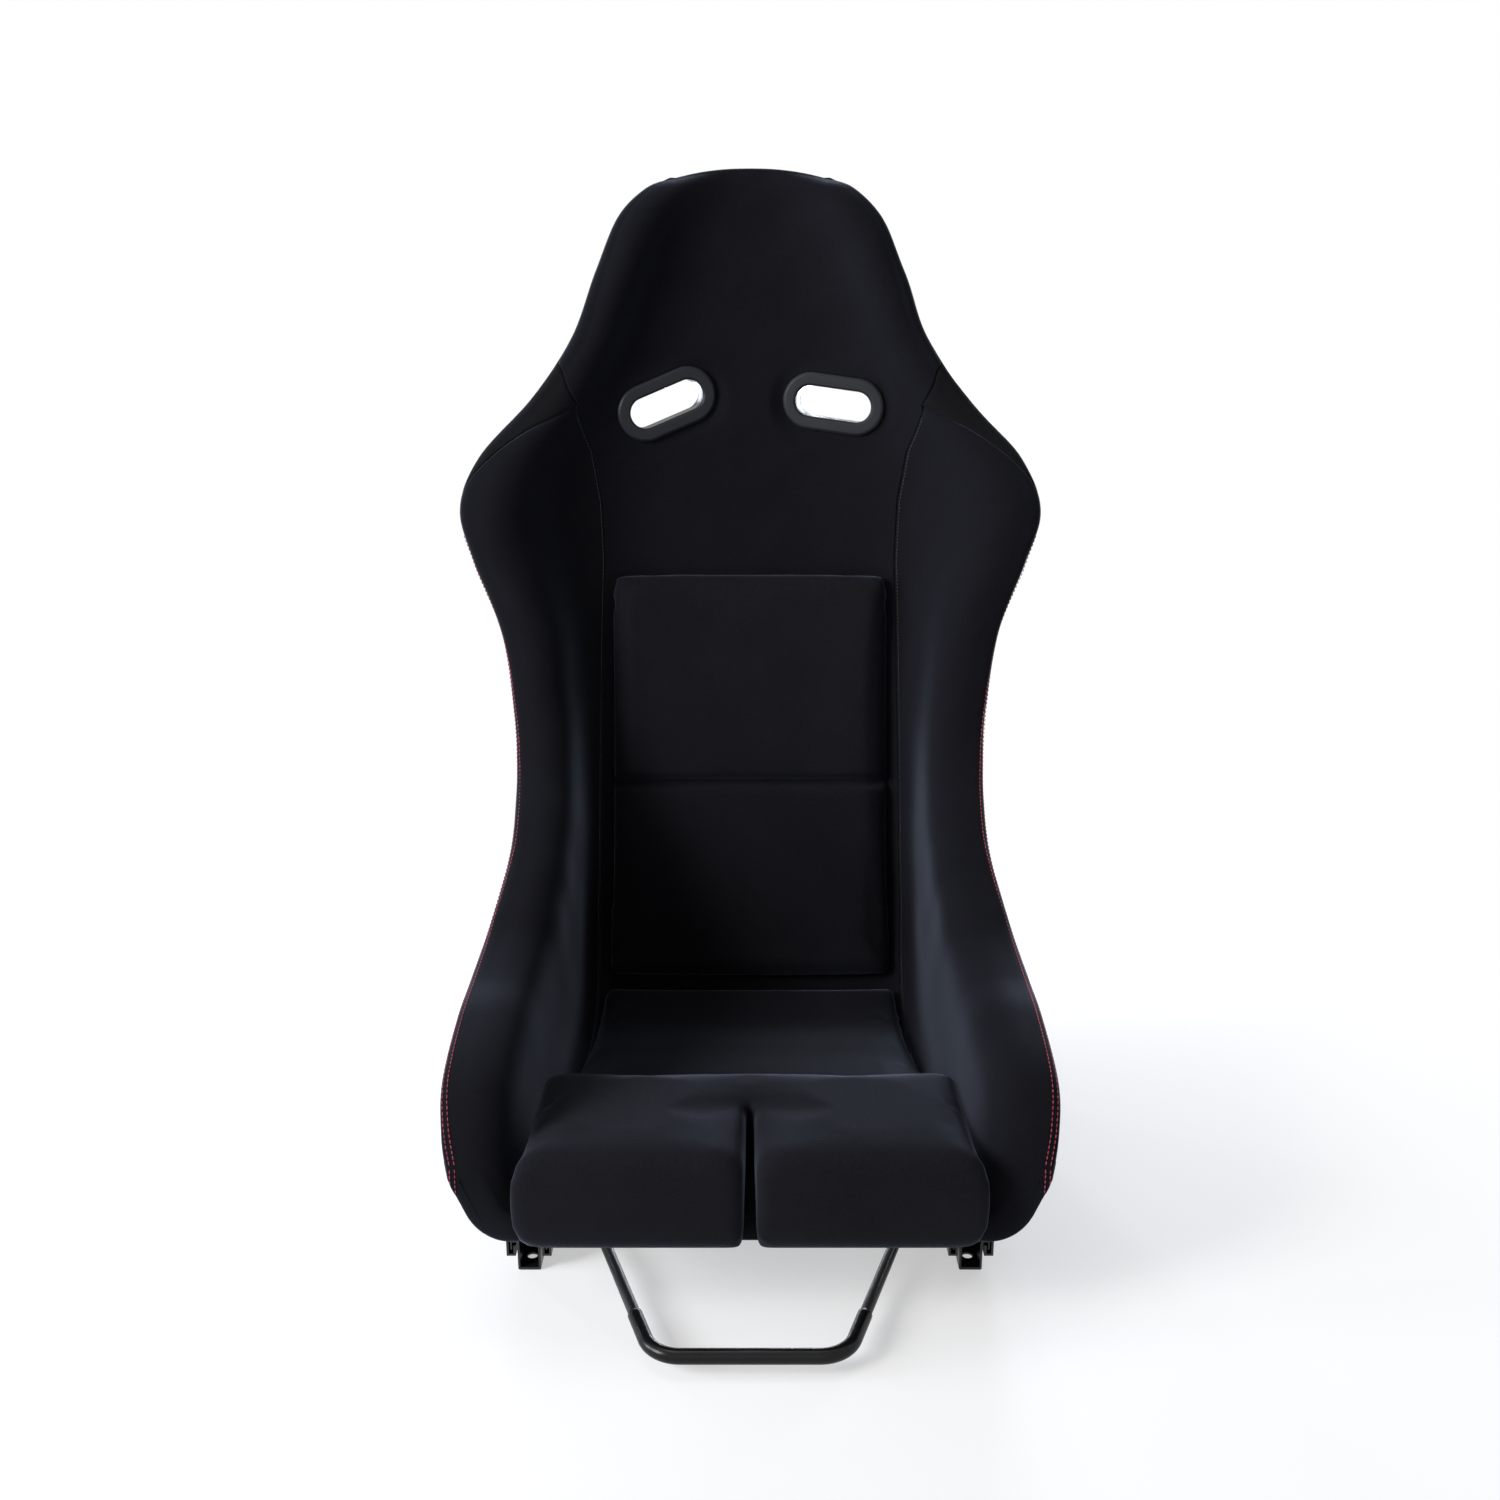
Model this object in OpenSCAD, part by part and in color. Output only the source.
// Fixed-back bucket racing seat on side brackets and floor sliders.
// Millimetres. X runs across the seat, the seat faces -Y, +Z is up.
// The origin is the middle of the four floor bolt holes, on the underside of the floor rails.

/* [Shell and trim] */
// Width across the shoulder wings
shoulder_w = 580; // [560:1:600]
// Thickness of the moulded shell
shell_t = 4.5; // [3.5:0.5:6]
// Thickness of the trim that wraps the back of the shell
wrap_t = 3.5; // [2.5:0.5:5]
// Height of the top of the bare arch in the back trim
arch_top = 817; // [780:1:850]
// Half width of the bare arch at shoulder height
arch_half = 224; // [200:1:235]

/* [Harness slots] */
// Distance between the slot centres
slot_spacing = 181; // [170:1:200]
// Height of the slot centres
slot_z = 722; // [710:1:735]
// Clear length of a slot
slot_len = 80; // [70:1:90]
// Clear height of a slot
slot_high = 31; // [26:1:36]
// Drop of the outer end of the left slot
slot_tilt_left = 7.5; // [0:0.5:15]
// Drop of the outer end of the right slot
slot_tilt_right = 22; // [10:0.5:25]
// Outward turn of the slots towards the back
slot_yaw = 13; // [5:1:18]
// Width of the bezel flange round the opening
bezel_rim = 13.5; // [12:0.5:14.5]

/* [Cushions] */
// Thickness of the back cushion
back_pad_t = 24; // [18:1:30]
// Thickness of the seat cushion
seat_pad_t = 28; // [20:1:34]
// Height of the top of the thigh cushion at its front edge
thigh_top_z = 167; // [155:1:175]
// Width of the split in the thigh cushion
split_w = 14; // [10:1:20]

/* [Side brackets] */
// Distance from the middle of the seat to a bracket plate
plate_x = 218; // [218:0.5:222]
// Thickness of the bracket sheet
sheet_t = 3; // [2.5:0.5:4]
// Width of the bracket flange
flange_w = 59; // [50:1:62]
// Height of the side bolts
side_bolt_z = 98; // [94:1:102]
// Distance of the side bolts and rail studs from the middle
fix_y = 142; // [135:1:146]

/* [Sliders] */
// Distance between the floor rails
rail_spacing = 384; // [380:1:388]
// Length of the rails
rail_len = 336; // [330:1:345]
// Distance between the floor bolts along a rail
floor_bolt_y = 300; // [280:1:306]
// Radius of the floor bolt holes
floor_bolt_r = 4.5; // [4:0.1:5.5]
// Spacing of the lock windows
lock_pitch = 10; // [10:1:12]
// Radius of the bearing balls
ball_r = 2.85; // [2.5:0.05:2.9]

/* [Release bar] */
// Radius of the tube of the grab loop
loop_r = 6.2; // [5:0.1:7]
// Radius of the legs
leg_r = 5; // [4:0.1:6]
// Reach of the loop in front of the middle
loop_y = 300; // [280:1:320]
// Half width of the straight part of the loop
loop_half = 62; // [50:1:70]

/* [Hidden] */
$fn = 40;

wide = shoulder_w/580;
rail_x = rail_spacing/2;
slot_x = slot_spacing/2;
slot_y = 296;
pad_y = 8;
flange_len = slot_len + 2*bezel_rim;
flange_high = slot_high + 2*bezel_rim;
front_bezel_y = -20;
front_bezel_t = 5.5;
rear_bezel_t = 6;
collar_end = 3;
bolt_r = 4;
bolt_grip = 16;
boss_r = 13;
boss_h = 23;
bend_r = 8;
rail_h = 37;
web_z = 35.2;
stud_r = 4;
pivot_y = 110;
pivot_z = 31.8;
pin_r = 2.2;
ball_z = 32.2;
BALL_Y = [-110, -30, 45];
thigh_mid_z = 118;
thigh_low_z = 98;
lip_z = 79;
split_len = 122;
SPLIT_DIP = 12;
PAD_GAP = 1.4;
CHANNEL_SHARE = 0.42;
ARCH_FOOT = 600;
ARCH_LOW = 355;
EDGES = [-1, -0.985, -0.95, -0.88, -0.7, -0.35, 0, 0.35, 0.7, 0.88, 0.95, 0.985, 1];

// The release bar: each leg runs along LEG_X to its knee, then in to the loop's corner.
LEG_X = 166.5;
BAR_Z = 16;
knee = [LEG_X, -40, BAR_Z];
corner_at = [loop_half + 14, -loop_y, BAR_Z];
leg_dir = (knee - corner_at)/norm(knee - corner_at);
bend_turn = acos(leg_dir[0]);
loop_bend = 30;
bend_run = loop_bend*tan(bend_turn/2);
SLEEVE = 24;
sleeve_end = corner_at + leg_dir*(bend_run + SLEEVE + 8);

// The seat is a loft. Each station holds the point of the shell's back on the centre line
// (y, z), the point of the outer seam (y, z), the half width at that seam, the half width of
// the body, how far forward the body curves there, the cut of its corner, the foam thickness
// on the centre line and the radius of the bolster roll.
STATIONS = [
  [-237,  80, -239, 134, 238, 208,  0, 40, 12, 12],
  [-222,  77, -229, 158, 245, 202,  0, 42, 14, 20],
  [-185,  75, -203, 186, 250, 200,  0, 40, 16, 24],
  [-110,  69, -132, 205, 253, 204,  0, 46, 18, 26],
  [ -30,  62,  -70, 214, 253, 206,  0, 50, 20, 26],
  [  50,  54,  -15, 230, 251, 208,  0, 54, 20, 26],
  [ 125,  52,   15, 250, 249, 209,  2, 58, 20, 26],
  [ 178,  74,   38, 268, 248, 209,  4, 60, 20, 25],
  [ 204, 115,   58, 283, 247, 208,  6, 60, 20, 25],
  [ 217, 175,   80, 302, 246, 206,  6, 58, 20, 24],
  [ 232, 250,  108, 328, 245, 202,  6, 54, 20, 24],
  [ 248, 330,  140, 362, 246, 199,  6, 52, 18, 23],
  [ 264, 415,  172, 417, 252, 198,  6, 52, 18, 22],
  [ 279, 500,  192, 498, 266, 199,  8, 56, 18, 22],
  [ 291, 575,  198, 570, 282, 202, 14, 62, 18, 22],
  [ 299, 625,  200, 622, 290, 204, 18, 66, 18, 22],
  [ 305, 680,  218, 672, 270, 196, 20, 66, 18, 20],
  [ 311, 740,  246, 728, 226, 172, 18, 58, 18, 18],
  [ 315, 805,  258, 790, 186, 148, 14, 50, 18, 17],
  [ 316, 865,  266, 853, 157, 124, 12, 40, 18, 17],
  [ 313, 912,  272, 905, 129,  98, 10, 32, 18, 16],
  [ 303, 938,  280, 934,  99,  66,  7, 22, 12, 12],
  [ 294, 946,  289, 945,  72,  42,  3, 12,  3,  4]];
LAST = len(STATIONS) - 1;

// Rows of the loft, closer where the seat turns and at the head.
SHELL_END = 21;
ROWS = [0, 0.5, for (s = [1:5]) s, for (s = [5.5:0.5:9]) s, for (s = [10:13]) s,
        for (s = [13.5:0.5:15.5]) s, for (s = [16:0.25:17.5]) s,
        for (s = [18:20]) s, 20.5, SHELL_END];
CAP_ROWS = [SHELL_END + 0.1, SHELL_END + 0.5, LAST];
PATCH_START = 14.5;
PATCH_END = 17;

// Points along each part of a half section.
FLAT_N = 3;
CORNER_N = 5;
WALL = [0.4, 0.8, 1];
ROLL_N = 4;
SEAM_COLUMN = 8;
CREST_COLUMN = 12;
seam_t = 1.5;
// The foam's inner corner as a share of the shell's, tight on the base and soft up the back.
FOAM_CORNER = [[0, 0.35], [6, 0.4], [9, 0.6], [13, 0.8]];

function at(s, k) =
  let (i = min(floor(s), LAST - 1), u = s - i,
       a = STATIONS[max(i - 1, 0)][k], b = STATIONS[i][k],
       c = STATIONS[i + 1][k], d = STATIONS[min(i + 2, LAST)][k])
  0.5*(2*b + (c - a)*u + (2*a - 5*b + 4*c - d)*u*u + (3*b - a - 3*c + d)*u*u*u);

function depth(s) = norm([at(s, 2) - at(s, 0), at(s, 3) - at(s, 1)]);

// Shoulder blade bulges and the valleys beside the spine, on the back of the shell.
function relief(s, x) =
  let (blade = max(0, exp(-pow((x - 108)/44, 2) - pow((s - 14.2)/1.5, 2)) - 0.03),
       valley = exp(-pow((x - 50)/22, 2))*max(0, min(1, (s - 11)/2, (19 - s)/2)))
  3.5*valley - 7*blade;

// Round a slot the shell runs into a flat pad, square to the slot's axis.
function pad_share(s, x) =
  max(0, min(1, 2.4 - 1.6*norm([(x - slot_x)/62, (at(s, 1) - slot_z)/36])));

function pad_depth(s, x) =
  (pad_y + slot_y*cos(slot_yaw) - (x - slot_x)*sin(slot_yaw) - at(s, 0)*cos(slot_yaw))
  /(cos(slot_yaw)*(at(s, 2) - at(s, 0))/depth(s));

function corner(a, p, b, cut, n) =
  let (u = (a - p)/norm(a - p), v = (b - p)/norm(b - p),
       c = min(cut, 0.48*norm(a - p), 0.48*norm(b - p)), start = p + u*c, end = p + v*c)
  [for (j = [0:n - 1]) let (t = j/(n - 1)) pow(1 - t, 2)*start + 2*t*(1 - t)*p + t*t*end];

function steps(a, b, n) = [for (j = [1:n]) a + (b - a)*j/n];

function last(v) = v[len(v) - 1];

// A half section: flat, gentle bend, corner, then the wall up to its end.
function half_section(p0, p1, p2, p3, cut1, cut2, wall_end) =
  let (bend = corner(p0, p1, p2, cut1, FLAT_N),
       turn = corner(p1, p2, p3, cut2, CORNER_N))
  concat([p0, (p0 + bend[0])/2], bend, [(last(bend) + turn[0])/2], turn,
         [for (k = WALL) last(turn) + (wall_end - last(turn))*k]);

function with_relief(s, half) =
  let (bare = bare_back(s))
  [for (p = half) let (k = pad_share(s, p[0]))
    p + [0, (1 - k)*relief(s, p[0]) + (k > 0 ? k*(pad_depth(s, p[0]) - lookup(p[0], bare)) : 0)]];

function edge_out(s) = [at(s, 4)*wide - 0.55*at(s, 9), depth(s) - 2];
function edge_in(s) = edge_out(s) - [0.8*shell_t, 0];
function seam(s) = [at(s, 4)*wide, depth(s)];

function bare_back(s) =
  let (b = at(s, 5)*wide, e = edge_out(s))
  half_section([0, 0], [0.45*b, 0], [b, at(s, 6)], e, 0.4*b, at(s, 7), e);

function shell_back(s) = with_relief(s, bare_back(s));

function shell_front(s) =
  let (b = at(s, 5)*wide, t = shell_t, e = edge_in(s))
  with_relief(s, half_section([0, t], [0.45*b, t], [b - 1.1*t, at(s, 6) + t], e,
                              0.4*b, at(s, 7) - t, e));

function wrap_back(s) =
  let (b = at(s, 5)*wide, t = wrap_t, e = seam(s))
  with_relief(s, half_section([0, -t], [0.45*b, -t], [b + t, at(s, 6) - 0.8*t], e,
                              0.4*b, at(s, 7) + t, e));

// The trimmed front, over the bolster roll to the outer seam.
function cover_front(s) =
  let (tc = at(s, 8), ro = at(s, 9), t = shell_t + tc, w = at(s, 4)*wide,
       b = at(s, 5)*wide - 1.5*tc, crest = depth(s) + ro,
       inner = [w - 2.3*ro, crest], outer = [w, crest],
       base = half_section([0, t], [0.45*b, t], [b, at(s, 6) + t], inner,
                           0.4*b, lookup(s, FOAM_CORNER)*at(s, 7), inner),
       foot = len(base) - len(WALL) - 1)
  concat([for (i = [0:foot]) base[i]], corner(base[foot], inner, outer, 0.9*ro, len(WALL)),
         corner(inner, outer, seam(s), ro, ROLL_N), [seam(s)]);

// What the trim lies on: the shell's front, then round its edge to the seam.
function cover_back(s) =
  concat(shell_front(s), [edge_out(s)], steps(edge_out(s), seam(s) - [seam_t, 0], ROLL_N));

// Above the shell the trim closes on itself.
function cap_back(s) =
  let (w = wrap_back(s), n = len(w) - 2)
  concat([for (i = [0:n]) w[i]], steps(w[n], seam(s) - [seam_t, 0], ROLL_N + 2));

function mirrored(half) =
  concat([for (i = [len(half) - 1:-1:1]) [-half[i][0], half[i][1]]], half);

// Section points in space: x across, the depth along the line from the back to the seam.
function in_space(s, half) =
  let (y = at(s, 0), z = at(s, 1), dir = [at(s, 2) - y, at(s, 3) - z]/depth(s))
  [for (p = mirrored(half)) [p[0], y + dir[0]*p[1], z + dir[1]*p[1]]];

// A solid between two grids of points, where on(i, j) says which cells exist.
module slab(front, back, on) {
  rows = len(front);
  cols = len(front[0]);
  n = rows*cols;
  function id(i, j) = i*cols + j;
  function has(i, j) = i >= 0 && j >= 0 && i < rows - 1 && j < cols - 1 && on[i][j];
  function wall(a, b) = a < b ? [[a, b, n + b], [a, n + b, n + a]]
                              : [[a, b, n + a], [b, n + b, n + a]];
  faces = [for (i = [0:rows - 2]) for (j = [0:cols - 2]) if (on[i][j])
    let (a = id(i, j), b = id(i, j + 1), c = id(i + 1, j + 1), d = id(i + 1, j))
    each concat([[a, c, b], [a, d, c], [n + a, n + b, n + c], [n + a, n + c, n + d]],
                has(i - 1, j) ? [] : wall(a, b), has(i, j + 1) ? [] : wall(b, c),
                has(i + 1, j) ? [] : wall(c, d), has(i, j - 1) ? [] : wall(d, a))];
  polyhedron([for (row = front) each row, for (row = back) each row], faces, convexity = 8);
}

function everywhere(rows, cols) = [for (i = [1:rows - 1]) [for (j = [1:cols - 1]) true]];

// One harness slot's own frame: its middle, with +Y straight through to the back.
module at_slot(side) {
  tilt = side > 0 ? slot_tilt_left : slot_tilt_right;
  translate([side*slot_x, slot_y, slot_z]) rotate([0, side*tilt, -side*slot_yaw]) children();
}

// A round-ended bar of the given length and height from y0 to y1.
module slot_prism(len, high, y0, y1) {
  translate([0, y1, 0]) rotate([90, 0, 0]) linear_extrude(y1 - y0) {
    square([len - high, high], center = true);
    for (s = [-1, 1]) translate([s*(len - high)/2, 0]) circle(d = high);
  }
}

module both() {
  for (side = [-1, 1]) scale([side, 1, 1]) children();
}

module side_bolt_axes() {
  for (side = [-1, 1], y = [-fix_y, fix_y])
    translate([0, y, side_bolt_z]) rotate([0, side*90, 0]) children();
}

// Which half column of a grid a cell lies in, and on which side of the seat.
function half_column(j, cols) = let (n = (cols - 1)/2) j >= n ? j - n : n - 1 - j;
function side_of(j, cols) = 2*j >= cols - 1 ? 1 : -1;

module shell_skin() {
  slab([for (s = ROWS) in_space(s, shell_front(s))], [for (s = ROWS) in_space(s, shell_back(s))],
       everywhere(len(ROWS), 2*len(shell_front(0)) - 1));
}

// Places for the threaded bosses that are bonded into the shell's sides.
module boss_pockets(gap) {
  side_bolt_axes() translate([0, 0, plate_x - boss_h - gap]) cylinder(r = boss_r + gap, h = 60);
}

module shell() {
  color("#16171a") difference() {
    shell_skin();
    boss_pockets(0.05);
    for (side = [-1, 1]) at_slot(side) slot_prism(slot_len + 6, slot_high + 6, -60, 60);
  }
}
shell();

// The trim over the front: the centre with the headrest, two bolsters, two shoulder patches.
function panel(s, column) =
  s > PATCH_END || column < SEAM_COLUMN ? "centre" :
  column >= CREST_COLUMN && s > PATCH_START ? "patch" : "bolster";

module cover(name, side = 0) {
  rows = concat(ROWS, CAP_ROWS);
  cols = 2*len(cover_front(0)) - 1;
  slab([for (s = rows) in_space(s, cover_front(s))],
       [for (s = rows) in_space(s, s > SHELL_END ? cap_back(s) : cover_back(s))],
       [for (i = [1:len(rows) - 1]) let (s = (rows[i - 1] + rows[i])/2)
        [for (j = [0:cols - 2]) panel(s, half_column(j, cols)) == name
                                && (side == 0 || side == side_of(j, cols))]]);
}

module centre_cover() {
  color("#1a1a1d") difference() {
    cover("centre");
    for (side = [-1, 1]) at_slot(side) {
      slot_prism(slot_len + 6, slot_high + 6, -60, 60);
      slot_prism(flange_len + 1, flange_high + 1, -60, front_bezel_y + front_bezel_t);
    }
  }
}
centre_cover();

module bolster_cover(side) {
  color("#18181b") difference() {
    cover("bolster", side);
    boss_pockets(0.6);
  }
}
module bolster_cover_left() { bolster_cover(1); }
module bolster_cover_right() { bolster_cover(-1); }
module shoulder_patch_left() { color("#141416") cover("patch", 1); }
module shoulder_patch_right() { color("#141416") cover("patch", -1); }
bolster_cover_left();
bolster_cover_right();
shoulder_patch_left();
shoulder_patch_right();

// The trim turned round to the back: a band along the edges, full width over the head, and
// an arched hem between the shoulders that leaves the shell bare below it.
module arch(low) {
  rise = arch_top - ARCH_FOOT;
  half = concat([[arch_half + 2.5, low]],
                [for (a = [0:7.5:82.5]) [arch_half*cos(a), ARCH_FOOT + rise*pow(sin(a), 5/3)]]);
  translate([0, 420, 0]) rotate([90, 0, 0]) linear_extrude(300)
    polygon(concat(half, [[0, arch_top]], [for (i = [len(half) - 1:-1:0]) [-half[i][0], half[i][1]]]));
}

module back_wrap() {
  cols = 2*len(shell_front(0)) - 1;
  function wrapped(s, column) = column >= 12 || (s > 11 && column >= 10) || s > 17.5
                                || (s > 14.5 && column >= 5);
  color("#151518") difference() {
    slab([for (s = ROWS) in_space(s, shell_back(s))], [for (s = ROWS) in_space(s, wrap_back(s))],
         [for (i = [1:len(ROWS) - 1]) let (s = (ROWS[i - 1] + ROWS[i])/2)
          [for (j = [0:cols - 2]) wrapped(s, half_column(j, cols))]]);
    arch(ARCH_LOW);
  }
}
back_wrap();

// Cushions. A crown rises from a rim, full over the middle and rounded to the edges.
function crown(t, power) = pow(max(0, 1 - pow(abs(t), power)), 0.4);
function drawn_in(v) = 1 - 0.012*(1 - v*v);
function along(a, b, v) = a + (b - a)*(v + 1)/2;

// A pad on the trim: panels between the given stations, with a sewn channel between them.
module pad_on_trim(stations, half_from, half_to, thick, rim) {
  n = len(stations) - 1;
  places = concat([for (k = [0:n - 1]) each [for (v = EDGES) if (v < 1) [k, v]]], [[n - 1, 1]]);
  function is_channel(k, v) = (v == -1 && k > 0) || (v == 1 && k < n - 1);
  function full(k, v) = is_channel(k, v) ? CHANNEL_SHARE : crown(v, 12);
  function lift(k, u, v) = rim + (thick - rim)*crown(u, 12)*full(k, v);
  function section(k, v, top) =
    let (s = along(stations[k], stations[k + 1], v),
         half = drawn_in(v)*(half_from + (half_to - half_from)*(s - stations[0])
                             /(stations[n] - stations[0])),
         dir = [at(s, 2) - at(s, 0), at(s, 3) - at(s, 1)]/depth(s), floor_d = shell_t + at(s, 8))
    [for (u = EDGES) let (x = u*half, d = lookup(abs(x), cover_front(s)) + PAD_GAP,
                          e = top ? max(d + rim, floor_d + lift(k, u, v)) : d)
      [x, at(s, 0) + dir[0]*e, at(s, 1) + dir[1]*e]];
  slab([for (p = places) section(p[0], p[1], true)], [for (p = places) section(p[0], p[1], false)],
       everywhere(len(places), len(EDGES)));
}

module back_cushion() { color("#1b1b1e") pad_on_trim([7.75, 10.9, 13.8], 154, 147, back_pad_t, 5); }
module seat_cushion() { color("#1b1b1e") pad_on_trim([3.45, 7.4], 170, 158, seat_pad_t, 6); }
back_cushion();
seat_cushion();

// The thigh cushion overhangs the front lip of the shell, split in the middle at the front.
module thigh_cushion() {
  front = -262;
  rear = -86;
  lip = -239;
  rows = concat([for (v = [-1, -0.98, -0.93, -0.85, -0.75]) along(front, rear, v), lip],
                [for (v = [-0.5, -0.2, 0.2, 0.5, 0.78, 0.9, 0.97, 1]) along(front, rear, v)]);
  function round_y(y) = crown((2*y - front - rear)/(rear - front), 16);
  function half(y) = 175 + 9*max(0, min(1, (lip - y)/10));
  function top(x, y) =
    thigh_mid_z + (thigh_top_z - thigh_mid_z - 0.06*(y - front))*round_y(y)*crown(x/half(y), 16)
    - SPLIT_DIP*exp(-pow(x/16, 2))*max(0, min(1, (-120 - y)/40));
  function bottom(x, y) =
    y >= lip ? thigh_low_z + 9*pow(abs(x)/half(y), 12)
             : thigh_mid_z - (thigh_mid_z - lip_z)*round_y(y)*crown(x/half(y), 16);
  function grid(top_side) =
    [for (y = rows) [for (u = EDGES) let (x = u*half(y)*drawn_in(2*(y - front)/(rear - front) - 1))
      [x, y, top_side ? max(top(x, y), bottom(x, y) + 3) : bottom(x, y)]]];
  color("#1b1b1e") difference() {
    slab(grid(true), grid(false), everywhere(len(rows), len(EDGES)));
    translate([-split_w/2, front - 10, 0]) cube([split_w, split_len - split_w/2, 300]);
    translate([0, front - 10 + split_len - split_w/2, 0]) cylinder(d = split_w, h = 300);
  }
}
thigh_cushion();

// Bezels: a profile (distance from the slot's spine, depth) carried round the slot.
module round_slot() {
  half = (slot_len - slot_high)/2;
  rotate([-90, 0, 0]) for (turn = [0, 180]) rotate([0, 0, turn]) {
    translate([half, 0, 0]) rotate([0, 0, -90]) rotate_extrude(angle = 180) children();
    translate([-half, 0, 0]) rotate([90, 0, 90]) linear_extrude(2*half) children();
  }
}

// A flange from face to seat with its collar reaching on to the end.
module bezel(side, face, seat, end) {
  r = slot_high/2;
  rim = r + bezel_rim;
  wall = 2;
  cut = sign(seat - face)*1.8;
  at_slot(side) round_slot()
    polygon([[r, end], [r, face + cut], [r + 2, face], [rim - 2.5, face], [rim, face + cut],
             [rim, seat], [r + wall, seat], [r + wall, end]]);
}

module front_bezel(side) {
  color("#202124") bezel(side, front_bezel_y, front_bezel_y + front_bezel_t, collar_end);
}
module rear_bezel(side) {
  color("#26272a") bezel(side, pad_y + 1.7 + rear_bezel_t, pad_y + 1.7, collar_end + 0.5);
}
module front_bezel_left() { front_bezel(1); }
module front_bezel_right() { front_bezel(-1); }
module rear_bezel_left() { rear_bezel(1); }
module rear_bezel_right() { rear_bezel(-1); }
front_bezel_left();
front_bezel_right();
rear_bezel_left();
rear_bezel_right();

// Threaded bosses in the shell's sides, and the button head bolts in them.
module side_bosses() {
  color("#8a8d92") side_bolt_axes() translate([0, 0, plate_x - boss_h]) difference() {
    cylinder(r = boss_r, h = boss_h);
    translate([0, 0, -1]) cylinder(r = bolt_r + 0.05, h = boss_h + 2);
  }
}
side_bosses();

module side_bolts() {
  color("#2a2a2c") side_bolt_axes() difference() {
    union() {
      translate([0, 0, plate_x - bolt_grip]) cylinder(r = bolt_r, h = bolt_grip + sheet_t);
      translate([0, 0, plate_x + sheet_t]) rotate_extrude()
        polygon([[0, 0], [7.2, 0], [7.2, 1.6], [6.2, 3.4], [4.2, 4.3], [0, 4.3]]);
    }
    translate([0, 0, plate_x + sheet_t + 1.6]) cylinder(r = 2.9, h = 5, $fn = 6);
  }
}
side_bolts();

// Folded sheet brackets: a plate against the seat's side and a flange on the rail.
module bracket_plate() {
  top = side_bolt_z + 14;
  foot = rail_h + bend_r;
  difference() {
    polygon([[-160, foot], [160, foot], [160, top - 16], [148, top], [-148, top], [-160, top - 16]]);
    for (y = [-fix_y, fix_y], z = [side_bolt_z, side_bolt_z - 24])
      translate([y, z]) circle(r = bolt_r + 0.3);
    for (y = [-65, 65]) translate([y, side_bolt_z - 18]) {
      square([70, 18], center = true);
      for (s = [-35, 35]) translate([s, 0]) circle(r = 9);
    }
  }
}

module bracket_flange() {
  inner = plate_x + sheet_t - flange_w;
  outer = plate_x + sheet_t - bend_r;
  difference() {
    polygon([[outer, -172], [outer, 172], [inner + 12, 172], [inner, 160], [inner, -160],
             [inner + 12, -172]]);
    for (y = [-fix_y, fix_y], s = [-1, 1]) translate([rail_x + 5*s, y]) circle(r = stud_r + 0.3);
    for (y = [-fix_y, fix_y]) translate([rail_x, y]) square([10, 2*stud_r + 0.6], center = true);
  }
}

module bracket() {
  translate([plate_x, 0, 0]) rotate([90, 0, 90]) linear_extrude(sheet_t) bracket_plate();
  translate([0, 0, rail_h]) linear_extrude(sheet_t) bracket_flange();
  translate([plate_x + sheet_t - bend_r, 160, rail_h + bend_r]) rotate([90, 0, 0])
    rotate([0, 0, -90]) linear_extrude(320) difference() {
      intersection() {
        circle(r = bend_r);
        square(2*bend_r);
      }
      circle(r = bend_r - sheet_t);
    }
}
module side_bracket_left() { color("#17171a") bracket(); }
module side_bracket_right() { color("#17171a") mirror([1, 0, 0]) bracket(); }
side_bracket_left();
side_bracket_right();

// Studs up through the rails and brackets, with flange nuts.
module on_rail(places) {
  for (side = [-1, 1], y = places) translate([side*rail_x, y, 0]) children();
}

module rail_studs() {
  color("#8d9094") on_rail([-fix_y, fix_y]) {
    translate([0, 0, web_z - 3.6]) cylinder(r = 6.5, h = 3.6);
    translate([0, 0, web_z - 1]) cylinder(r = stud_r, h = 20);
  }
}
rail_studs();

module flange_nuts() {
  color("#a9adb2") on_rail([-fix_y, fix_y]) translate([0, 0, rail_h + sheet_t]) difference() {
    union() {
      cylinder(r = 8.8, h = 1.5);
      cylinder(r = 7.5, h = 8, $fn = 6);
    }
    translate([0, 0, -1]) cylinder(r = stud_r + 0.05, h = 10);
  }
}
flange_nuts();

// Sliders. A profile is drawn for one side of the rail and mirrored.
function both_sides(half) =
  concat(half, [for (i = [len(half) - 1:-1:0]) [-half[i][0], half[i][1]]]);

module along_rail(half) {
  translate([0, rail_len/2, 0]) rotate([90, 0, 0]) linear_extrude(rail_len)
    polygon(both_sides(half));
}

// The upper rail is a channel that curls under the floor rail's flanges.
module upper_rail(side) {
  translate([side*rail_x, 0, 0]) difference() {
    along_rail([[17.5, rail_h], [19.5, rail_h - 2], [19.5, 14], [11.5, 14], [11.5, 24], [13.5, 24],
                [13.5, 16], [17.5, 16], [17.5, web_z - 1], [16.5, web_z]]);
    for (y = [-fix_y, fix_y]) translate([0, y, web_z - 5]) cylinder(r = stud_r + 0.1, h = 10);
    translate([-side*21, pivot_y, pivot_z]) rotate([0, side*90, 0]) cylinder(r = pin_r + 0.08, h = 6);
  }
}
module upper_rail_left() { color("#1b1b1d") upper_rail(1); }
module upper_rail_right() { color("#1b1b1d") upper_rail(-1); }
upper_rail_left();
upper_rail_right();

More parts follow.
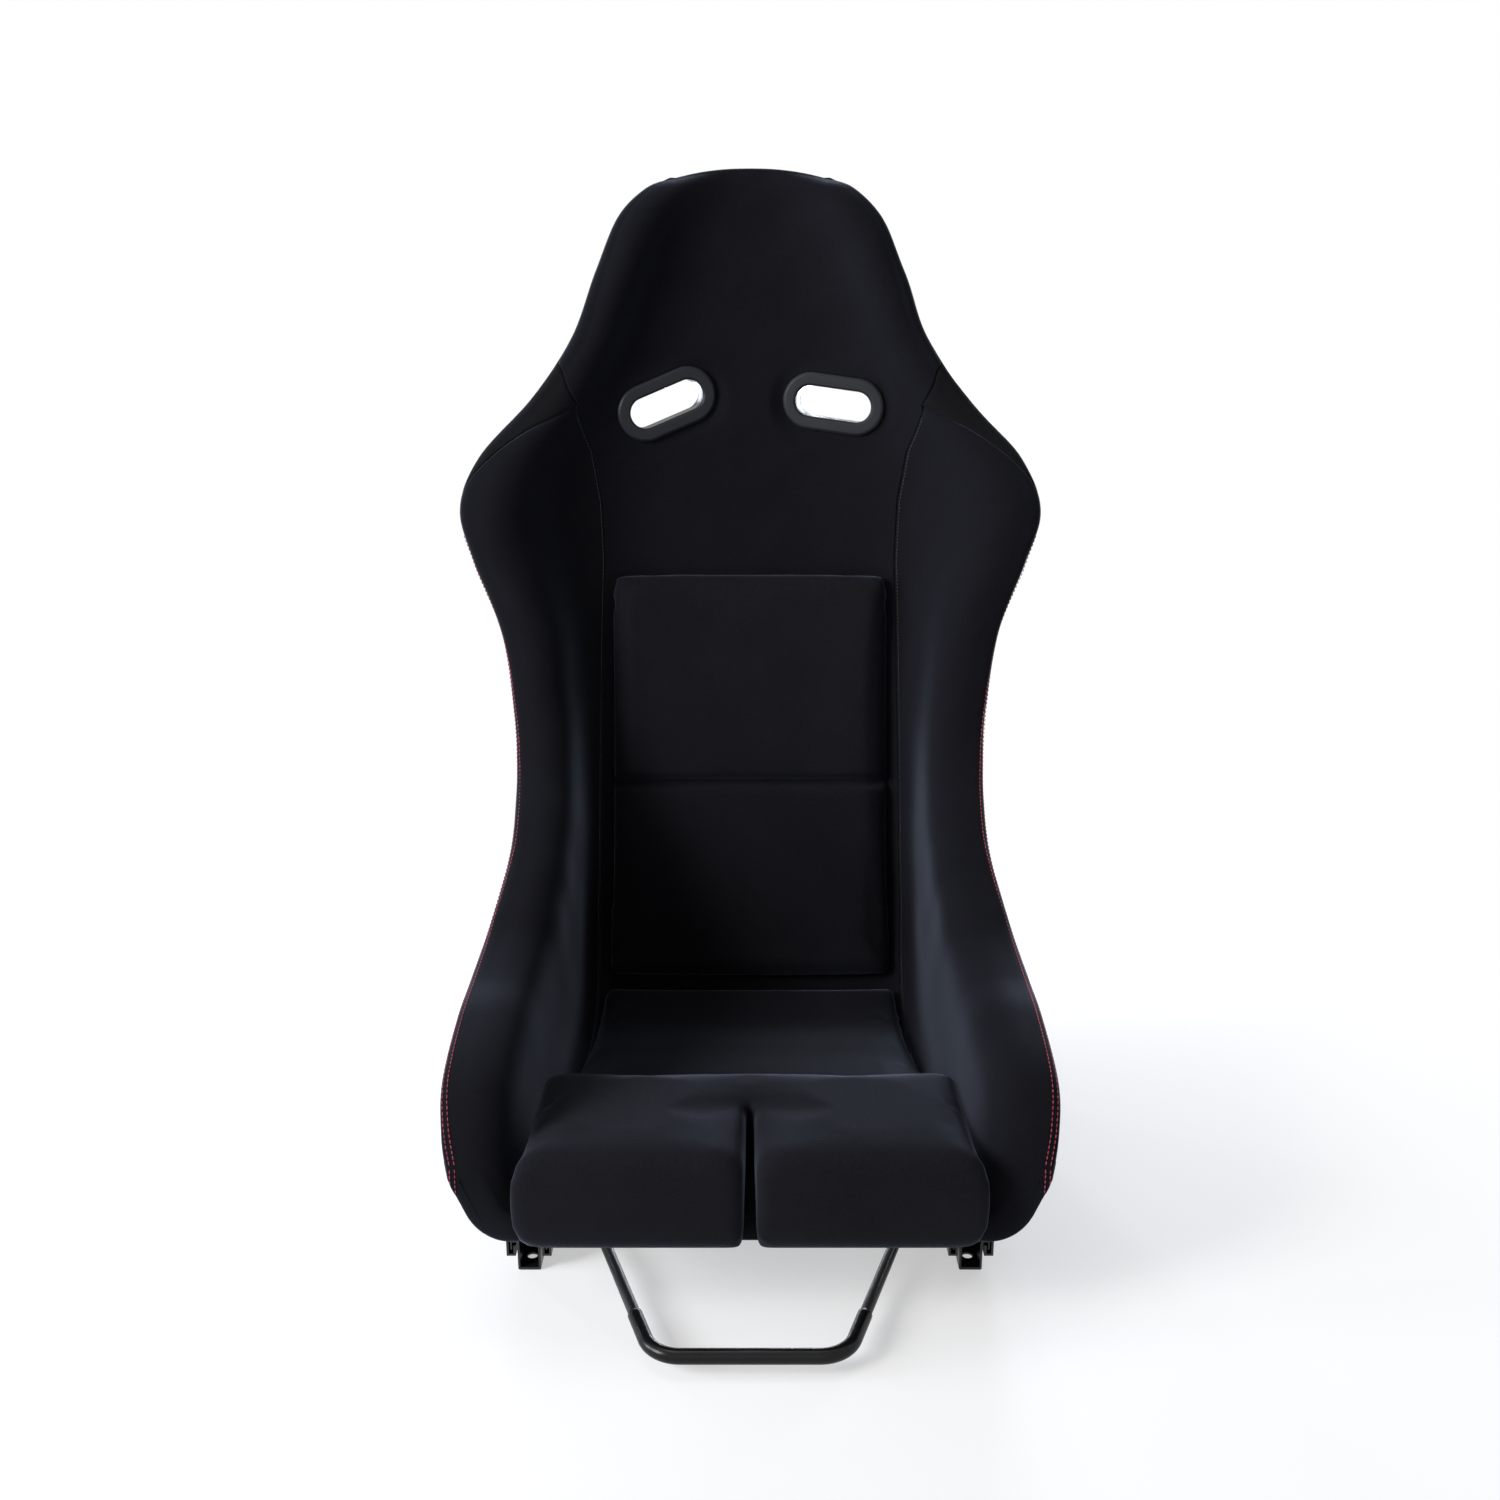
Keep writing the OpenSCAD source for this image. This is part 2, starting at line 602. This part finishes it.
// The floor rail is a trough with lock windows in its floor and flanges that hook down.
module floor_rail(side) {
  translate([side*rail_x, 0, 0]) difference() {
    along_rail([[9, 0], [10, 1], [10, 27.2], [14.5, 27.2], [14.5, 20], [16, 20], [16, 28.2],
                [15, 29.2], [8, 29.2], [8, 2.5]]);
    for (y = [-floor_bolt_y/2, floor_bolt_y/2]) translate([0, y, -1]) cylinder(r = floor_bolt_r, h = 6);
    for (k = [-11:11]) translate([-4.2, k*lock_pitch - 3, -1]) cube([8.4, 6, 6]);
  }
}
module floor_rail_left() { color("#141415") floor_rail(1); }
module floor_rail_right() { color("#141415") floor_rail(-1); }
floor_rail_left();
floor_rail_right();

// Balls between the channel and the flanges, held apart by flat cages.
module bearing_balls() {
  color("#c9ccd0") on_rail(BALL_Y) for (x = [-12.5, 12.5])
    translate([x, 0, ball_z]) sphere(r = ball_r);
}
bearing_balls();

module ball_cages() {
  color("#3a3a3d") for (side = [-1, 1], x = [-12.5, 12.5]) translate([side*rail_x + x, 0, 0])
    difference() {
      translate([-3.9, BALL_Y[0] - 10, ball_z - 0.8]) cube([7.8, BALL_Y[2] - BALL_Y[0] + 20, 1.6]);
      for (y = BALL_Y) translate([0, y, ball_z - 2]) cylinder(r = ball_r + 0.15, h = 4);
    }
}
ball_cages();

// Latch arms inside the rails: the teeth drop through the lock windows.
module latch_arms() {
  color("#2d2d30") for (side = [-1, 1]) translate([side*rail_x - 3, 0, 0]) rotate([90, 0, 90])
    linear_extrude(6) difference() {
      union() {
        translate([pivot_y, pivot_z]) circle(r = 3.1);
        polygon([[pivot_y + 2.8, pivot_z - 1], [pivot_y - 2, pivot_z + 2], [96, 22], [86, 13.5],
                 [-14, 13.5], [-14, 8], [88, 8], [100, 16]]);
        for (y = [-lock_pitch, 0]) translate([y - 2, 0.4]) square([4, 8]);
      }
      translate([pivot_y, pivot_z]) circle(r = pin_r + 0.03);
    }
}
latch_arms();

// Leaf springs from the channel's web down to the arms.
module latch_springs() {
  top = web_z - 0.6;
  foot = 14.3;
  function leaf(t) = foot + (top - foot)*(3*t*t - 2*t*t*t);
  run = [for (k = [0:12]) k/12];
  color("#7d8085") for (side = [-1, 1]) translate([side*rail_x - 2.5, 0, 0]) rotate([90, 0, 90])
    linear_extrude(5)
      polygon(concat([for (t = run) [50 + 40*t, leaf(t) + 0.4]],
                     [for (i = [12:-1:0]) [50 + 40*run[i], leaf(run[i]) - 0.4]]));
}
latch_springs();

// Release bar: a pin in each rail, a leg on each pin and the grab loop between the legs.
module pivot_pins() {
  color("#6f7276") both() translate([rail_x - 29, pivot_y, pivot_z]) rotate([0, 90, 0])
    cylinder(r = pin_r, h = 33);
}
pivot_pins();

module rod(a, b, r) {
  d = b - a;
  translate(a) rotate([0, acos(d[2]/norm(d)), atan2(d[1], d[0])]) cylinder(r = r, h = norm(d));
}

// A tube along a path, with a ring square to the path at each point. The rings' half width
// and half height are given point by point.
module tube(path, across, upright, sides) {
  n = len(path);
  function ring(i) =
    let (d = path[min(i + 1, n - 1)] - path[max(i - 1, 0)], h = d/norm(d),
         flat = [-h[1], h[0], 0]/norm([h[0], h[1]]), up = cross(h, flat))
    [for (k = [0:sides - 1]) path[i] + across[i]*cos(360*k/sides)*flat
                             + upright[i]*sin(360*k/sides)*up];
  walls = [for (i = [0:n - 2], k = [0:sides - 1])
    let (a = i*sides + k, b = i*sides + (k + 1)%sides) each [[a, b + sides, b], [a, a + sides, b + sides]]];
  ends = [[for (k = [0:sides - 1]) k], [for (k = [sides - 1:-1:0]) (n - 1)*sides + k]];
  polyhedron([for (i = [0:n - 1]) each ring(i)], concat(walls, ends));
}

// Each leg is flattened and drilled at the pin and runs on into the loop's sleeve.
module release_legs() {
  heel = [LEG_X, pivot_y - 6, pivot_z - 1];
  drop = [LEG_X, 84, BAR_Z];
  path = concat([[LEG_X, pivot_y + 4.5, pivot_z], heel], corner(heel, drop, knee, 12, 4),
                corner(drop, knee, sleeve_end, 25, 4), [sleeve_end - leg_dir*(SLEEVE - 1)]);
  across = [for (i = [0:len(path) - 1]) i < 2 ? 2.5 : leg_r];
  upright = [for (i = [0:len(path) - 1]) i < 2 ? 4.5 : leg_r];
  color("#161618") both() difference() {
    tube(path, across, upright, 20);
    translate([LEG_X - 10, pivot_y, pivot_z]) rotate([0, 90, 0]) cylinder(r = pin_r + 0.03, h = 20);
  }
}
release_legs();

module grab_loop() {
  straight = corner_at[0] - bend_run;
  half = concat([sleeve_end], [for (k = [0:8]) let (a = -90 + bend_turn*(1 - k/8))
                  [straight + loop_bend*cos(a), loop_bend*(1 + sin(a)) - loop_y, BAR_Z]]);
  path = concat(half, [for (i = [len(half) - 1:-1:0]) [-half[i][0], half[i][1], half[i][2]]]);
  radii = [for (p = path) loop_r];
  color("#121214") difference() {
    tube(path, radii, radii, 24);
    both() rod(sleeve_end - leg_dir*SLEEVE, sleeve_end + leg_dir, leg_r + 0.05);
  }
}
grab_loop();
